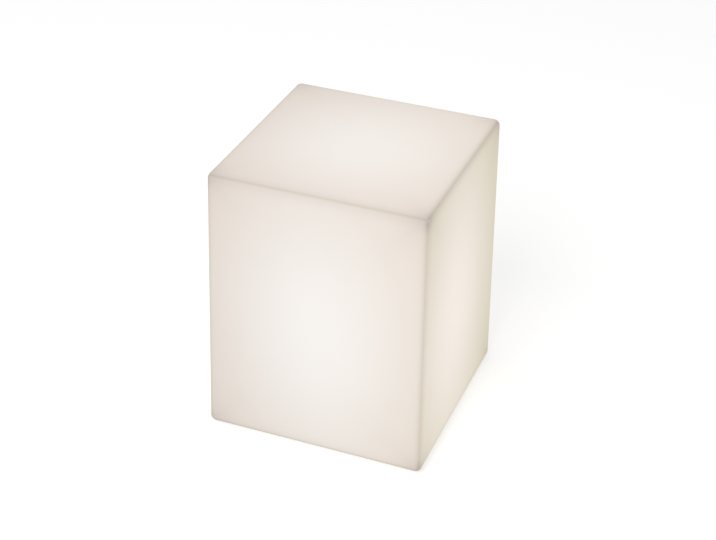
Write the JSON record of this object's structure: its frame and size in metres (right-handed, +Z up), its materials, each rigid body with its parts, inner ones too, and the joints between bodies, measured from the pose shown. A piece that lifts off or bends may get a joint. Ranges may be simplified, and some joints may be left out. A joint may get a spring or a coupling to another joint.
{
  "type": "block light",
  "caption": "Tall rounded block light with a hollow translucent shell, a round light unit screwed into a well in its underside, a push button and a capped charging socket.",
  "frame": {"origin": "on the ground under the middle of the shell, at the feet's soles", "axes": "+Z up, -Y out of the front face, +X out of the right face"},
  "size_m": [0.3558, 0.3558, 0.45],
  "materials": {
    "shell_plastic": "translucent rotomoulded polyethylene with a fine grain, lit from inside",
    "housing_plastic": "light grey moulded plastic, fine spark-eroded texture",
    "button_plastic": "dark grey soft-touch plastic",
    "bezel_metal": "turned ring, satin",
    "seal_rubber": "black silicone",
    "foot_rubber": "black moulded rubber",
    "cap_rubber": "dark grey silicone",
    "screw_steel": "stainless steel",
    "insert_brass": "turned brass",
    "lens_plastic": "clear moulded plastic",
    "socket_body": "black moulded plastic",
    "contact_metal": "nickel plated brass",
    "circuit_board": "green solder resist",
    "component_body": "black and sleeved components",
    "cell_wrap": "shrink wrapped cells",
    "strip_nickel": "welded nickel strip",
    "clamp_steel": "zinc plated strip",
    "pad_foam": "closed cell foam",
    "plate_metal": "plain rolled sheet",
    "lamp_board_white": "white solder resist on an aluminium core",
    "emitter_lens": "yellow phosphor in a white package",
    "dome_plastic": "opal diffuser",
    "lead_sleeve": "two-core lead in a soft sleeve"
  },
  "bodies": {
    "lamp": {"shade_shell": "shell_plastic", "flange_inserts": "insert_brass", "foot_inserts": "insert_brass", "foot_screws": "screw_steel", "flange_screws": "screw_steel", "base_pan": "housing_plastic", "pan_gasket": "seal_rubber", "button_bezel": "bezel_metal", "button_seal": "seal_rubber", "push_switch": "component_body", "indicator_lens": "lens_plastic", "charge_socket": "socket_body", "socket_pin": "contact_metal", "socket_seal": "seal_rubber", "socket_nut": "contact_metal", "cap_anchor": "cap_rubber", "control_board": "circuit_board", "board_components": "component_body", "board_screws": "screw_steel", "battery_cells": "cell_wrap", "cell_tabs": "strip_nickel", "battery_pad": "pad_foam", "battery_clamp": "clamp_steel", "clamp_screws": "screw_steel", "rim_gasket": "seal_rubber", "heat_sink_plate": "plate_metal", "lamp_board": "lamp_board_white", "light_emitters": "emitter_lens", "lamp_board_screws": "screw_steel", "light_dome": "dome_plastic", "dome_gasket": "seal_rubber", "dome_screws": "screw_steel", "cable_grommet": "seal_rubber", "battery_lead": "lead_sleeve", "lamp_lead": "lead_sleeve", "socket_lead": "lead_sleeve", "foot_front_left": "foot_rubber", "foot_front_right": "foot_rubber", "foot_back_left": "foot_rubber", "foot_back_right": "foot_rubber"},
    "power_button": {"button_cap": "button_plastic", "switch_plunger": "component_body"},
    "charge_cap": {"socket_cap": "cap_rubber"}
  },
  "joints": [
    {"name": "power_button_press", "type": "slide", "parent": "lamp", "child": "power_button", "axis": [0, 0, 1], "range_m": [0, 0.0012], "stiffness_N_per_m": 1500, "springref_m": -0.001},
    {"name": "charge_cap_swing", "type": "hinge", "parent": "lamp", "child": "charge_cap", "pos_m": [0.027, -0.015, 0.0289], "axis": [1, 0, 0], "range_deg": [0, 120], "stiffness_Nm_per_rad": 0.002, "springref_deg": -17.19}
  ]
}
